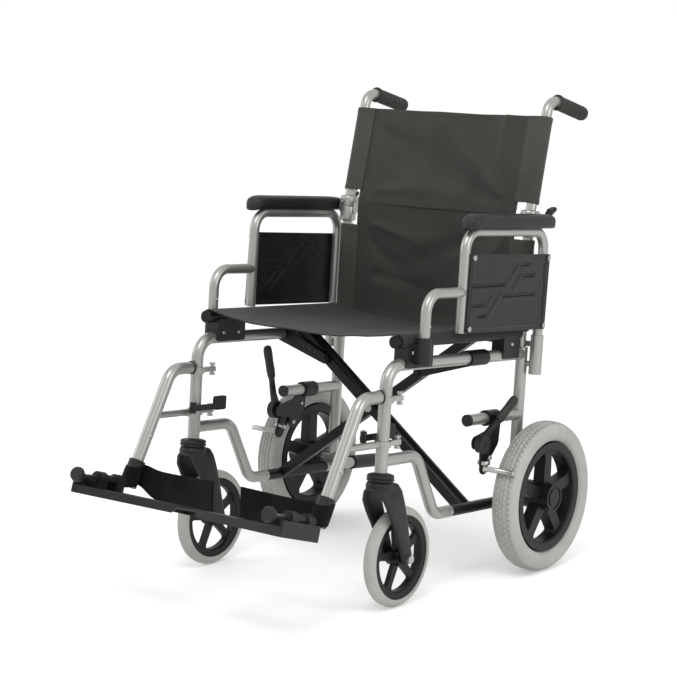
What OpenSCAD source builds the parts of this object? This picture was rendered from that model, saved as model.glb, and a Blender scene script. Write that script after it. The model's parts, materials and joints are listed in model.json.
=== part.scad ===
// Folding attendant-propelled wheelchair with swing-away footrests, a folding
// cross brace, a half-folding back and removable armrests.
// Millimetres. +Z is up, the sitter faces -Y and the sitter's left is +X.
// The whole frame leans back by frame_rake, so each sub-part is drawn in frame
// coordinates (x, u back along the rails, v up along the uprights) for the
// sitter's left side, and the right side is its mirror image.

/* [Frame] */
// Lean of the whole frame behind upright, degrees
frame_rake = 4.4; // [3.4:0.2:5.4]
// Distance from the middle of the chair to each side frame's tube plane
frame_x = 242; // [236:1:248]
// Outer radius of the frame tubes
tube_r = 12.5; // [12:0.25:13]
// Height of the top rail's centre line
rail_v = 468; // [462:1:474]
// Height of the lower rail's centre line
lower_v = 158.5; // [156:0.5:161]
// Position of the front upright
front_u = -232; // [-236:1:-228]
// Position of the rear upright
rear_u = 244; // [240:1:246]

/* [Seat and back] */
// Height of the seat rails' centre line
seat_v = 513; // [511:1:515]
// Height of the back's folding hinge
back_hinge_v = 760; // [756:1:764]
// Lean of the upper back against the lower back, degrees
back_lean = 10.4; // [8:0.2:12]
// Length of a push grip
grip_length = 108; // [100:1:120]

/* [Wheels] */
// Outer radius of the rear tyre
rear_tyre_r = 157.5; // [154:0.5:159]
// Half width of the rear tyre
rear_tyre_half = 27; // [24:1:28]
// Outer radius of the castor tyre
castor_tyre_r = 100; // [97:1:102]
// Half width of the castor tyre
castor_tyre_half = 13; // [11:1:14]
// Distance of the castor's axle behind its stem
castor_trail = 70; // [66:1:72]
// Number of spokes in every wheel
spoke_count = 5; // [3:1:6]

/* [Armrests] */
// Distance from the middle of the chair to the armrest tubes
arm_x = 272; // [271:1:274]
// Height of the armrest's top tube
arm_v = 727; // [715:1:740]
// Outer radius of the armrest tube
arm_r = 10.5; // [10:0.25:10.5]

/* [Footrests] */
// Tilt of the footplate hinge against the rails, degrees
plate_tilt = 12.7; // [11:0.5:14]
// Clear distance from the middle of the chair to each footplate
plate_gap = 21; // [21:1:26]
// Thickness of a footplate with its ribs
plate_thick = 16; // [14:1:18]

/* [Hidden] */
$fn = 64;

// Shift that puts the middle of the chair's length at the origin
centre_y = 23.5;
// Running clearance of a shaft in its hole, on the radius
fit = 0.06;
// Clearance of a round fit inside one moving body
snug = 0.1;
// Small step and overlap that join the pieces of one tube or plate cleanly
weld = 0.04;
lap = 1;

silver = "silver";
plastic = "dimgray";
fabric = "darkslategray";
rubber = "lightgray";

bend_r = 42;
cane_r = 11;
cane_x = 238;
stem_r = 8;
spigot_r = 8;
axle_r = 8;
castor_axle_r = 5;
socket_r = 13.5;
arm_front_u = -157;
arm_mid_u = -36;
arm_rear_u = 252;
arm_loop_v = 607;
stub_v = 340;
head_bottom_v = 262;
upright_top_v = 482;
cane_top_v = 712;
rail_front_u = -214;
rail_rear_u = 222;
panel_x = 282.6;
panel_thick = 5;

// The rear axle goes through the rear upright, one tyre radius above the floor
rear_axle_u = rear_u;
rear_axle_v = (rear_tyre_r + rear_axle_u * sin(frame_rake)) / cos(frame_rake);
rear_wheel_x = 313;
rear_hub_half = 33;
rear_rim_r = rear_tyre_r - 43;
boss_half = 16;
castor_u = front_u + castor_trail;
castor_v = 87.9;

// Cross brace: both feet turn in the lower rails and both heads carry a seat rail
brace_rise = atan2(seat_v - lower_v, 2 * frame_x);
brace_length = norm([2 * frame_x, seat_v - lower_v]);
brace_front_u = 46;
brace_bar = 7;
brace_inner_u = 55;
brace_inner = 16;
brace_rear_u = 73;
brace_width = 20;
link_u = 38;
link_thick = 6;
link_reach = [-120.3, -43];

// Brake: lever pivot, shoe pivot and the angles of each side as it stands
brake_pivot = [68, 295];
shoe_pivot = [93.6, 286];
lever_locked = 35.2;
lever_free = 107.5;
shoe_locked = -89.6;
shoe_free = -117.2;
shoe_arm = 45;
lever_x = 269;
brake_cheek_x = frame_x + 13.5;
brake_cheek = 4;
shoe_x = brake_cheek_x + 5;
shoe_thick = 4.5;

// Footrest hanger and footplate hinge
hanger_v = 409;
strut_v = 317;
hanger_foot = [-411, 200.5];
hanger_corner_u = -309.3;
latch_x = frame_x - 23;
latch_u = -264;
hinge_front = [-518, 207.6];
hinge_tube_r = 9.5;
plate_drop = 20;
plate_front = -32;
plate_rear = 80;
plate_outer = 24;

// Handle of the upper back, and the pivot of its release paddle
handle_z = 245;
handle_end = 135;
paddle_pivot = [272, 748];

// ---------- general shapes ----------

// Round bar between two points (u, v) of the side plane
module bar(a, b, r) {
    d = b - a;
    translate([0, a[0], a[1]])
        rotate([-atan2(d[0], d[1]), 0, 0])
            cylinder(h = norm(d), r = r);
}

// Flat shapes drawn in (u, v) and given a thickness along +x
module side_plate(thick) {
    rotate([90, 0, 90]) linear_extrude(thick) children();
}

function unit(d) = d / norm(d);
function turn_of(a, b, c) =
    let (p = unit(b - a), q = unit(c - b))
        atan2(p[0] * q[1] - p[1] * q[0], p * q);
function set_back(a, b, c, bend) = bend * tan(abs(turn_of(a, b, c)) / 2);

// Tube along a path of (u, v) points with every corner bent to the same radius
module bent_tube(path, bend, r) {
    last = len(path) - 1;
    for (i = [0:last - 1]) {
        d = unit(path[i + 1] - path[i]);
        a = i == 0 ? 0 : set_back(path[i - 1], path[i], path[i + 1], bend);
        b = i == last - 1 ? 0 : set_back(path[i], path[i + 1], path[i + 2], bend);
        in_a = i == 0 ? 0 : lap;
        in_b = i == last - 1 ? 0 : lap;
        bar(path[i] + d * (a - in_a), path[i + 1] - d * (b - in_b), r);
    }
    for (i = [1:last - 1]) elbow(path[i - 1], path[i], path[i + 1], bend, r + weld);
}

// The bend itself, a quarter or less of a ring
module elbow(a, b, c, bend, r) {
    turn = turn_of(a, b, c);
    side = turn > 0 ? 1 : -1;
    d = unit(b - a);
    centre = b - d * set_back(a, b, c, bend) + side * bend * [-d[1], d[0]];
    heading = atan2(d[1], d[0]);
    start = turn > 0 ? heading - 90 : heading + 90 + turn;
    translate([0, centre[0], centre[1]])
        rotate([90, 0, 90])
            rotate([0, 0, start])
                rotate_extrude(angle = abs(turn)) translate([bend, 0]) circle(r);
}

// Flat outline of two discs joined along their outer tangents
module taper(a, ra, b, rb) {
    d = norm(b - a);
    heading = atan2(b[1] - a[1], b[0] - a[0]);
    lean = asin((rb - ra) / d);
    near = ra - weld;
    far = rb - weld;
    translate(a) circle(ra);
    translate(b) circle(rb);
    translate(a) rotate(heading) polygon([
        near * [-sin(lean), cos(lean)],
        [d, 0] + far * [-sin(lean), cos(lean)],
        [d, 0] + far * [-sin(lean), -cos(lean)],
        near * [-sin(lean), -cos(lean)]
    ]);
}

// Flat rectangle from corner a to corner b with round corners
module round_rect(a, b, r) {
    for (u = [a[0] + r, b[0] - r]) for (v = [a[1] + r, b[1] - r]) translate([u, v]) circle(r);
    translate([a[0], a[1] + r]) square([b[0] - a[0], b[1] - a[1] - 2 * r]);
    translate([a[0] + r, a[1]]) square([b[0] - a[0] - 2 * r, b[1] - a[1]]);
}

// Pin or hole along x through the point p of the side plane
module cross_pin(p, x0, x1, r) {
    translate([x0, p[0], p[1]]) rotate([0, 90, 0]) cylinder(h = x1 - x0, r = r);
}

// Moves shapes drawn about a wheel's centre, with its axis along z, to the wheel
module at_wheel(x, u, v) {
    translate([x, u, v]) rotate([90, 0, 90]) children();
}

// Coordinates of the footplate hinge: y back along the hinge, z up from it
module at_plate_hinge() {
    translate([frame_x, hinge_front[0], hinge_front[1]])
        rotate([-plate_tilt, 0, 0])
            children();
}

// Coordinates of the upper back: origin at the folding hinge, z up the cane
module at_upper_back() {
    translate([0, rear_u + 2, back_hinge_v]) rotate([-back_lean, 0, 0]) children();
}

// ---------- side frame ----------

module side_frame() {
    color(silver) difference() {
        union() {
            translate([frame_x, 0, 0]) {
                bent_tube([[front_u, head_bottom_v], [front_u, rail_v], [rear_u, rail_v]],
                          bend_r, tube_r);
                bent_tube([[front_u, 284], [-119, 284], [-46.7, lower_v], [10, lower_v]], 38, 12);
                bar([rear_u, 146], [rear_u, upright_top_v], tube_r);
                bar([214, lower_v], [338, lower_v], 12);
                bar([58, stub_v], [rear_u, stub_v], 12);
            }
            translate([cane_x, 0, 0]) bar([rear_u, 470], [rear_u, cane_top_v], cane_r);
            translate([arm_x, 0, 0]) bar([arm_rear_u, 427], [arm_rear_u, 510], socket_r);
            for (v = [448, 490]) {
                translate([frame_x, rear_u + 4, v]) rotate([0, 90, 0])
                    cylinder(h = arm_x - frame_x, r = 6);
            }
            cross_pin([rear_axle_u, rear_axle_v], frame_x - boss_half, frame_x + boss_half, 15);
        }
        translate([frame_x, 0, 0]) {
            bar([front_u, 250], [front_u, 332], stem_r + fit);
            bar([-12, lower_v], [12, lower_v], spigot_r + fit);
            bar([212, lower_v], [233, lower_v], spigot_r + fit);
        }
        translate([arm_x, 0, 0]) bar([arm_rear_u, 436], [arm_rear_u, 512], arm_r + fit);
        cross_pin([rear_axle_u, rear_axle_v], frame_x - 20, frame_x + 20, axle_r + snug);
    }
}

// Moulded seat-rail cradles, the front armrest socket and the tube end caps
module frame_plastics() {
    color(plastic) difference() {
        union() {
            translate([frame_x - 16, 0, 0]) side_plate(32)
                round_rect([-190, rail_v - 6], [-104, seat_v - 4], 4);
            translate([frame_x - 15, 0, 0]) side_plate(30)
                round_rect([150, rail_v - 6], [210, seat_v - 4], 4);
            translate([arm_x, 0, 0]) bar([arm_front_u, 470], [arm_front_u, 522], 15);
            translate([frame_x, 0, 0]) side_plate(arm_x - frame_x)
                round_rect([arm_front_u - 15, 472], [arm_front_u + 15, 508], 4);
        }
        translate([frame_x, 0, 0]) {
            bar([-210, rail_v], [230, rail_v], tube_r + snug);
            bar([-230, seat_v], [230, seat_v], tube_r + 0.4);
        }
        translate([arm_x, 0, 0]) bar([arm_front_u, 479], [arm_front_u, 524], arm_r + fit);
    }
    color(plastic) translate([frame_x, 0, 0]) {
        bar([52, stub_v], [57.8, stub_v], 12.4);
        difference() {
            bar([316, lower_v], [404, lower_v - 3], 15.5);
            bar([310, lower_v], [338.3, lower_v], 12 + snug);
        }
    }
}

// Folding joint of the back: two cheeks and a block on the lower cane, with its bolt
module back_hinge() {
    cheek = 4;
    inner = cane_r + 0.8;
    lug_x = cane_x + 14.5;
    color(silver) difference() {
        union() {
            for (x = [cane_x - inner - cheek, cane_x + inner]) {
                translate([x, 0, 0]) side_plate(cheek)
                    taper([rear_u, cane_top_v + 12], 14, [rear_u + 2, back_hinge_v], 12.5);
            }
            translate([cane_x - inner - 1, 0, 0]) side_plate(2 * inner + 2)
                round_rect([rear_u - 14, cane_top_v - 3], [rear_u + 14, cane_top_v + 16], 5);
            cross_pin([rear_u + 2, back_hinge_v], cane_x - 19, cane_x + 19, 4);
            for (x = [cane_x - 19, cane_x + 16]) {
                cross_pin([rear_u + 2, back_hinge_v], x, x + 3, 6.5);
            }
            translate([lug_x, 0, 0]) side_plate(3.5)
                taper([rear_u + 4, back_hinge_v - 20], 8, paddle_pivot, 6);
            cross_pin(paddle_pivot, lug_x + 1, cane_x + 27, 3 - fit);
        }
        translate([cane_x, 0, 0]) bar([rear_u, 700], [rear_u, cane_top_v + snug], cane_r + snug);
    }
}

// Upper back tube that ends in the handle bend
module upper_cane() {
    color(silver) translate([cane_x, 0, 0]) at_upper_back() difference() {
        bent_tube([[0, -14], [0, handle_z], [handle_end, handle_z]], 30, cane_r);
        rotate([0, 90, 0]) cylinder(h = 40, r = 4 + fit, center = true);
    }
}

// Ribbed rubber grip over the end of the handle tube
module push_grip() {
    start = handle_end - grip_length + 4;
    finish = start + grip_length;
    color(plastic) translate([cane_x, 0, 0]) at_upper_back() difference() {
        union() {
            bar([start, handle_z], [finish, handle_z], 14.5);
            for (i = [0:8]) {
                bar([start + 8 + 11 * i, handle_z], [start + 15 + 11 * i, handle_z], 15.5);
            }
            bar([start, handle_z], [start + 4, handle_z], 17);
        }
        bar([start - 2, handle_z], [handle_end + snug, handle_z], cane_r + snug);
    }
}

// Release paddle behind the folding joint
module back_lever() {
    x = cane_x + 18.4;
    middle = paddle_pivot + [14, 18];
    tip = paddle_pivot + [28, 24];
    color(plastic) difference() {
        union() {
            translate([x, 0, 0]) side_plate(9) {
                taper(paddle_pivot, 7.5, middle, 7);
                taper(middle, 7, tip, 5);
            }
            cross_pin(paddle_pivot, x, x + 10, 7);
            cross_pin(middle, x, x + 10, 6.5);
            cross_pin(tip, x, x + 10, 4.5);
        }
        cross_pin(paddle_pivot, x - 1, x + 12, 3);
    }
}

// ---------- armrest ----------

module armrest_tube() {
    color(silver) translate([arm_x, 0, 0]) {
        bent_tube([[arm_front_u, 481], [arm_front_u, arm_loop_v], [arm_mid_u, arm_loop_v]],
                  38, arm_r);
        bent_tube([[arm_mid_u, 526], [arm_mid_u, arm_v], [arm_rear_u, arm_v],
                   [arm_rear_u, 438]], 38, arm_r);
    }
}

// Padded elbow rest, a plain block with round ends
module armrest_pad() {
    width = 44;
    front = -48;
    rear = 264;
    base = arm_v + arm_r + 0.2;
    color(plastic) translate([arm_x + 7, 0, 0]) {
        for (u = [front + width / 2, rear - width / 2]) {
            translate([0, u, base]) cylinder(h = 25, r = width / 2);
        }
        translate([-width / 2, front + width / 2, base])
            cube([width, rear - front - width, 25]);
    }
}

function panel_outline() = [[-38, 527], [253, 524], [257, 680], [-34, 684]];
function panel_corners() = panel_outline() + [[8, 8], [-8, 8], [-8, -8], [8, -8]];

// Moulded clothes guard with pressed grooves in a Z form
module side_panel() {
    color(plastic) difference() {
        translate([panel_x, 0, 0]) side_plate(panel_thick) polygon(panel_outline());
        for (p = panel_corners()) cross_pin(p, panel_x - 1, panel_x + 10, 2.2);
        for (x = [panel_x - 2, panel_x + panel_thick - 2]) translate([x, 0, 0]) side_plate(4) {
            taper([10, 560], 3, [96, 560], 3);
            taper([96, 560], 3, [150, 618], 3);
            taper([150, 618], 3, [236, 618], 3);
            taper([10, 588], 3, [84, 588], 3);
            taper([84, 588], 3, [134, 642], 3);
            taper([134, 642], 3, [206, 642], 3);
            taper([150, 584], 4, [222, 584], 4);
            taper([20, 626], 4, [86, 626], 4);
        }
    }
}

module panel_screws() {
    color(silver) for (p = panel_corners()) {
        cross_pin(p, panel_x + 0.2, panel_x + panel_thick + 0.1, 2);
        cross_pin(p, panel_x + panel_thick + 0.1, panel_x + panel_thick + 3, 5.5);
    }
}

// ---------- wheels ----------

// Spoked disc centred on z = 0: hub, spokes and rim between the given radii
module wheel_disc(hub_r, hub_half, rim_in, rim_out, rim_half, spoke, spoke_half, first) {
    difference() {
        union() {
            cylinder(h = 2 * hub_half, r = hub_r, center = true);
            rotate_extrude() polygon([
                [rim_in, -rim_half], [rim_out, -rim_half], [rim_out, rim_half],
                [rim_in, rim_half], [rim_in - 3, rim_half - 4], [rim_in - 3, 4 - rim_half]
            ]);
            for (i = [0:spoke_count - 1]) rotate([0, 0, first + 360 / spoke_count * i])
                translate([0, 0, -spoke_half]) linear_extrude(2 * spoke_half) polygon([
                    [hub_r / 2, -spoke * 0.45], [hub_r + 6, -spoke * 0.45],
                    [rim_in - 12, -spoke * 0.4], [rim_in - 0.5, -spoke * 0.7],
                    [rim_in - 0.5, spoke * 0.7], [rim_in - 12, spoke * 0.4],
                    [hub_r + 6, spoke * 0.45], [hub_r / 2, spoke * 0.45]
                ]);
        }
        children();
    }
}

module rear_axle() {
    color(silver) {
        axle = [rear_axle_u, rear_axle_v];
        hub_start = rear_wheel_x - rear_hub_half;
        cross_pin(axle, frame_x - boss_half - 4, rear_wheel_x + 31.3, axle_r);
        cross_pin(axle, frame_x - boss_half - 9.5, frame_x - boss_half - 0.1, 12.5);
        cross_pin(axle, frame_x + boss_half + 0.1, hub_start - 0.3, 12);
    }
}

module rear_rim() {
    color(plastic) at_wheel(rear_wheel_x, rear_axle_u, rear_axle_v)
        wheel_disc(29, rear_hub_half, rear_rim_r - 16, rear_rim_r, 20, 30, 13, 19) {
            translate([0, 0, -34]) cylinder(h = 66, r = axle_r + fit);
            translate([0, 0, 31.2]) difference() {
                cylinder(h = 4, r = 24);
                cylinder(h = 4, r = 18);
            }
        }
}

module rear_tyre() {
    tube_at = rear_tyre_r - rear_tyre_half;
    color(rubber) at_wheel(rear_wheel_x, rear_axle_u, rear_axle_v) rotate_extrude()
        intersection() {
            translate([tube_at, 0]) circle(rear_tyre_half);
            translate([rear_rim_r + 0.2, -40]) square([60, 80]);
        }
}

module castor_fork() {
    leg_gap = 17;
    color(plastic) difference() {
        union() {
            translate([frame_x, 0, 0]) {
                bar([front_u, 236], [front_u, 259], 26);
                bar([front_u, 238], [front_u, 326], stem_r);
            }
            translate([frame_x - 33, 0, 0]) side_plate(66) {
                taper([front_u, 216], 28, [front_u + 24, 170], 24);
                taper([front_u + 24, 170], 24, [castor_u, castor_v], 15);
            }
        }
        translate([frame_x, 0, 0]) {
            difference() {
                bar([front_u, 248.5], [front_u, 250.5], 28);
                bar([front_u, 248], [front_u, 251], 24.5);
            }
        }
        at_wheel(frame_x, castor_u, castor_v) {
            cylinder(h = 2 * leg_gap, r = castor_tyre_r + 5, center = true);
            cylinder(h = 90, r = castor_axle_r + snug, center = true);
        }
        cross_pin([castor_u - 10, castor_v + 24], frame_x - 40, frame_x + 40, 4);
        for (x = [-42, 42]) translate([frame_x + x, 0, 0]) fork_flank();
    }
}

// Cutter that narrows the fork's flanks below the crown
module fork_flank() {
    translate([0, castor_u, castor_v]) rotate([0, 90, 0])
        cylinder(h = 26, r = 74, center = true);
}

module castor_axle() {
    color(silver) {
        cross_pin([castor_u, castor_v], frame_x - 31, frame_x + 31, castor_axle_r);
        for (x = [-35.8, 29.2]) {
            translate([frame_x + x, castor_u, castor_v]) rotate([0, 90, 0])
                cylinder(h = 6.6, r = 9, $fn = 6);
        }
    }
}

module castor_rim() {
    color(plastic) at_wheel(frame_x, castor_u, castor_v)
        wheel_disc(18, 15.5, 71, castor_tyre_r - 16.2, 10.5, 17, 5, 30)
            cylinder(h = 40, r = castor_axle_r + fit, center = true);
}

module castor_tyre() {
    inner = castor_tyre_r - 16;
    color(rubber) at_wheel(frame_x, castor_u, castor_v) rotate_extrude() {
        translate([inner, -castor_tyre_half]) square([5, 2 * castor_tyre_half]);
        translate([castor_tyre_r - 13, 0]) intersection() {
            circle(castor_tyre_half);
            translate([-3, -20]) square([20, 40]);
        }
    }
}

// ---------- brake ----------

module brake_clamp() {
    knee = [126, 298];
    color(plastic) difference() {
        union() {
            translate([frame_x, 0, 0]) bar([118, stub_v], [158, stub_v], 16.5);
            translate([brake_cheek_x, 0, 0]) side_plate(brake_cheek) {
                taper([138, stub_v - 6], 15, knee, 24);
                taper(knee, 24, brake_pivot, 14);
                taper(knee, 24, [112, 266], 13);
            }
            cross_pin(brake_pivot, brake_cheek_x, lever_x + 12, 4);
            cross_pin(shoe_pivot, brake_cheek_x, shoe_x + shoe_thick + 0.8, 4);
        }
        translate([frame_x, 0, 0]) bar([100, stub_v], [170, stub_v], 12 + snug);
    }
}

// Hand lever with its grip and round hub, drawn at the given angle above the rails
module brake_lever(angle) {
    along = [cos(angle), sin(angle)];
    grip_from = 80 * along;
    grip_to = 138 * along;
    color(plastic) translate([0, brake_pivot[0], brake_pivot[1]]) difference() {
        union() {
            translate([lever_x - 3, 0, 0]) side_plate(6) rotate(angle) {
                taper([0, 0], 12, [38, 3], 7.5);
                taper([38, 3], 7.5, [84, 0], 6);
            }
            cross_pin([0, 0], lever_x - 3, lever_x + 12, 19);
            translate([lever_x, 0, 0]) {
                bar(grip_from, grip_to, 8.8);
                translate([0, grip_to[0], grip_to[1]]) sphere(8.8 - weld);
            }
        }
        cross_pin([0, 0], lever_x - 4, lever_x + 13, 4 + fit);
    }
}

// Arm and cross bar that press on the tyre, drawn at the given angle
module brake_shoe(angle) {
    peg = shoe_arm * [cos(angle), sin(angle)];
    color(silver) translate([0, shoe_pivot[0], shoe_pivot[1]]) difference() {
        union() {
            translate([shoe_x, 0, 0]) side_plate(shoe_thick) taper([0, 0], 16, peg, 12);
            cross_pin(peg, shoe_x, 336, 5.6);
        }
        cross_pin([0, 0], shoe_x - 1, shoe_x + shoe_thick + 1, 4 + fit);
    }
}

// ---------- footrest ----------

// Band round the front upright with its tail and clamp bolt
module hanger_band(v) {
    difference() {
        union() {
            translate([frame_x, 0, 0]) bar([front_u, v - 6], [front_u, v + 6], 16.5);
            translate([frame_x - 5, front_u + 10, v - 5]) cube([10, 44, 10]);
            translate([frame_x, 0, 0]) bar([front_u + 48, v - 13], [front_u + 48, v + 13], 3.5);
            for (k = [-13, 8]) translate([frame_x, front_u + 48, v + k])
                cylinder(h = 5, r = 6.5, $fn = 6);
        }
        translate([frame_x, 0, 0]) bar([front_u, v - 12], [front_u, v + 12], tube_r + fit);
    }
}

module hanger() {
    color(silver) {
        difference() {
            translate([frame_x, 0, 0]) {
                bent_tube([[front_u - 10, hanger_v], [hanger_corner_u, hanger_v], hanger_foot],
                          40, tube_r);
                bar([-352, strut_v], [front_u - 12, strut_v], 7);
            }
            translate([frame_x, 0, 0]) bar([front_u, 300], [front_u, 430], tube_r + 1.2);
        }
        hanger_band(403);
        hanger_band(strut_v);
        latch_post();
    }
}

// Arm and upright pin that carry the latch beside the strut
module latch_post() {
    translate([latch_x, latch_u, 312]) cylinder(h = 32, r = 3 - fit);
    translate([0, 0, 311]) linear_extrude(6)
        taper([latch_x, latch_u], 7, [frame_x, latch_u], 6);
}

// Spring latch with its finger paddle, on the inboard side of the upright
module hanger_latch() {
    x = latch_x;
    color(plastic) difference() {
        union() {
            translate([x - 3, 0, 0]) side_plate(6) {
                round_rect([-272, 322], [-170, 334], 4);
                round_rect([-200, 320], [-164, 349], 5);
            }
            translate([x, latch_u, 319]) cylinder(h = 22, r = 6.5);
        }
        translate([x, latch_u, 318]) cylinder(h = 24, r = 3);
    }
}

// Sleeve on the foot of the hanger, hinge tube, pin and stop knob
module foot_bracket() {
    color(plastic) {
        difference() {
            translate([frame_x, 0, 0]) bar([-397.1, 229], [-421, 180], 17);
            translate([frame_x, 0, 0]) bar([-380, 264.1], hanger_foot, tube_r + snug);
        }
        at_plate_hinge() {
            rotate([-90, 0, 0]) cylinder(h = 96, r = hinge_tube_r);
            rotate([90, 0, 0]) cylinder(h = 44, r = 3.5);
            rotate([90, 0, 0]) rotate_extrude() polygon([
                [0, 38], [8, 38], [14, 42], [15, 44], [15, 51], [12, 56], [0, 56]
            ]);
        }
    }
}

// Footplate with a ribbed underside, an outer flange and two hinge barrels
module footplate() {
    inner = plate_gap - frame_x;
    skin = 5;
    top = -plate_drop;
    color(plastic) at_plate_hinge() difference() {
        union() {
            translate([0, 0, top - skin]) linear_extrude(skin) plate_outline(0);
            translate([0, 0, top - plate_thick]) linear_extrude(plate_thick) difference() {
                plate_outline(0);
                plate_outline(5);
            }
            for (i = [1:5]) translate([inner + 34 * i, 0, top - plate_thick]) intersection() {
                translate([0, plate_front, 2])
                    cube([3.5, plate_rear - plate_front, plate_thick - 3]);
                translate([-34 * i - inner, 0, 0]) linear_extrude(plate_thick) plate_outline(1);
            }
            translate([plate_outer - 5, plate_front, top - plate_thick])
                cube([5, plate_rear - plate_front, plate_thick + 15]);
            for (y = [6, 56]) {
                translate([0, y, 0]) rotate([-90, 0, 0]) cylinder(h = 20, r = 13.5);
                translate([-13.5, y, top - 1]) cube([27, 20, 1 - top]);
                translate([0, y, top + 6]) cube([plate_outer, 20, 8]);
            }
        }
        translate([0, -1, 0]) rotate([-90, 0, 0]) cylinder(h = 90, r = hinge_tube_r + fit);
        translate([inner, plate_rear + 1, top - plate_thick]) rotate([90, 0, 0])
            linear_extrude(plate_rear - plate_front + 2) polygon([[-1, -1], [16, -1], [-1, 14]]);
    }
}

// Outline of the plate seen from above, drawn in by the given margin
module plate_outline(margin) {
    inner = plate_gap - frame_x + margin;
    outer = plate_outer - margin;
    slant = 38;
    polygon([
        [inner, plate_front + slant + margin], [outer, plate_front + margin],
        [outer, plate_rear - margin], [inner, plate_rear - margin]
    ]);
}

// Heel strap behind the plate, a band that bows backward
module heel_loop() {
    bow = 330;
    half = 16.6;
    color(fabric) translate([126, -392 - bow, 155]) linear_extrude(52) intersection() {
        difference() {
            circle(bow + 2, $fn = 180);
            circle(bow - 2, $fn = 180);
        }
        polygon([[0, 0], 400 * [sin(half), cos(half)], 400 * [-sin(half), cos(half)]]);
    }
}

// ---------- cross brace and seat ----------

// Foot tube that turns in the lower rail, with a spigot at each end
module brace_foot() {
    translate([frame_x, 0, 0]) {
        bar([12, lower_v], [212, lower_v], 11.5);
        bar([-8, lower_v], [230, lower_v], spigot_r);
    }
}

// Flat bar from the foot at +x to the head at -x, between two u positions
module brace_bar_solid(u, thick) {
    translate([frame_x, u, lower_v]) rotate([0, brace_rise - 90, 0])
        brace_blade(thick);
}

// Blade along local z with its thickness along y
module brace_blade(thick) {
    rotate([-90, 0, 0]) linear_extrude(thick)
        taper([0, 0], brace_width / 2, [0, -brace_length], brace_width / 2);
}

module brace_hole() {
    translate([0, brace_front_u - 2, (seat_v + lower_v) / 2]) rotate([-90, 0, 0])
        cylinder(h = 40, r = 6 + fit);
}

module head_rail() {
    translate([-frame_x, 0, 0]) bar([rail_front_u, seat_v], [rail_rear_u, seat_v], tube_r);
}

// Pair of bars, foot on the sitter's left and seat rail on the right
module cross_brace_outer() {
    color(plastic) difference() {
        union() {
            brace_foot();
            head_rail();
            brace_bar_solid(brace_front_u, brace_bar);
            brace_bar_solid(brace_rear_u, brace_bar);
        }
        brace_hole();
    }
}

// Single bar between the pair, foot on the sitter's right and seat rail on the left
module cross_brace_inner() {
    color(plastic) mirror([1, 0, 0]) difference() {
        union() {
            brace_foot();
            head_rail();
            brace_bar_solid(brace_inner_u, brace_inner);
        }
        brace_hole();
    }
}

module brace_bolt() {
    v = (seat_v + lower_v) / 2;
    color(silver) translate([0, 0, v]) rotate([-90, 0, 0]) {
        translate([0, 0, 40.5]) cylinder(h = 46, r = 6);
        translate([0, 0, 39]) cylinder(h = 6.8, r = 10, $fn = 6);
        translate([0, 0, 80.2]) cylinder(h = 7, r = 10, $fn = 6);
    }
}

// Clamp on the top rail with an arm to the brace, and its row of holes
module brace_link() {
    color(plastic) difference() {
        union() {
            translate([frame_x, 0, 0]) bar([link_u, rail_v], [link_u + 62, rail_v], 16.5);
            translate([frame_x, link_u + link_thick, rail_v]) rotate([90, 0, 0])
                linear_extrude(link_thick) taper([0, 0], 16.5, link_reach, 10);
            translate([frame_x + link_reach[0], link_u, rail_v + link_reach[1]])
                rotate([90, 0, 0]) cylinder(h = 3, r = 6);
        }
        translate([frame_x, 0, 0]) bar([20, rail_v], [120, rail_v], tube_r + fit);
        for (k = [0.5, 0.62, 0.74]) {
            translate([frame_x + k * link_reach[0], 30, rail_v + k * link_reach[1]])
                rotate([-90, 0, 0]) cylinder(h = 20, r = 2.6);
        }
    }
}

// Half of the seat sling, sloping from its rail to the middle of the chair
module seat_half() {
    sag = 4.6;
    color(fabric) translate([228, 0, 518]) rotate([0, -sag, 0])
        translate([-224.5, rail_front_u + 4, 0])
            cube([224.5, rail_rear_u - rail_front_u - 10, 5]);
}

// ---------- back upholstery ----------

// Sheet with a sleeve round each cane, from v0 to v1 above its origin
module back_sheet(v0, v1) {
    difference() {
        union() {
            translate([-cane_x, -4, v0]) cube([2 * cane_x, 8, v1 - v0]);
            for (x = [-cane_x, cane_x]) translate([x, 0, v0]) cylinder(h = v1 - v0, r = 14);
        }
        for (x = [-cane_x, cane_x]) translate([x, 0, v0 - 1])
            cylinder(h = v1 - v0 + 2, r = cane_r + 0.5);
    }
}

module back_upper() {
    color(fabric) at_upper_back() back_sheet(24, 196);
}

module back_lower() {
    color(fabric) translate([0, rear_u, 0]) back_sheet(528, 704);
}

// ---------- assembly ----------

// From frame coordinates to the chair on the floor
module stand() {
    translate([0, centre_y, 0]) rotate([-frame_rake, 0, 0]) children();
}

module right() {
    stand() mirror([1, 0, 0]) children();
}

stand() side_frame();  // left_side_frame
stand() frame_plastics();  // left_frame_plastics
stand() back_hinge();  // left_back_hinge
stand() upper_cane();  // left_upper_cane
stand() push_grip();  // left_push_grip
stand() back_lever();  // left_back_lever
stand() armrest_tube();  // left_armrest_tube
stand() armrest_pad();  // left_armrest_pad
stand() side_panel();  // left_side_panel
stand() panel_screws();  // left_panel_screws
stand() rear_axle();  // left_rear_axle
stand() rear_rim();  // left_rear_rim
stand() rear_tyre();  // left_rear_tyre
stand() castor_fork();  // left_castor_fork
stand() castor_axle();  // left_castor_axle
stand() castor_rim();  // left_castor_rim
stand() castor_tyre();  // left_castor_tyre
stand() brake_clamp();  // left_brake_clamp
stand() brake_lever(lever_locked);  // left_brake_lever
stand() brake_shoe(shoe_locked);  // left_brake_shoe
stand() hanger();  // left_hanger
stand() hanger_latch();  // left_hanger_latch
stand() foot_bracket();  // left_foot_bracket
stand() footplate();  // left_footplate
stand() heel_loop();  // left_heel_loop
stand() brace_link();  // left_brace_link
stand() seat_half();  // left_seat_half
right() side_frame();  // right_side_frame
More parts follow.
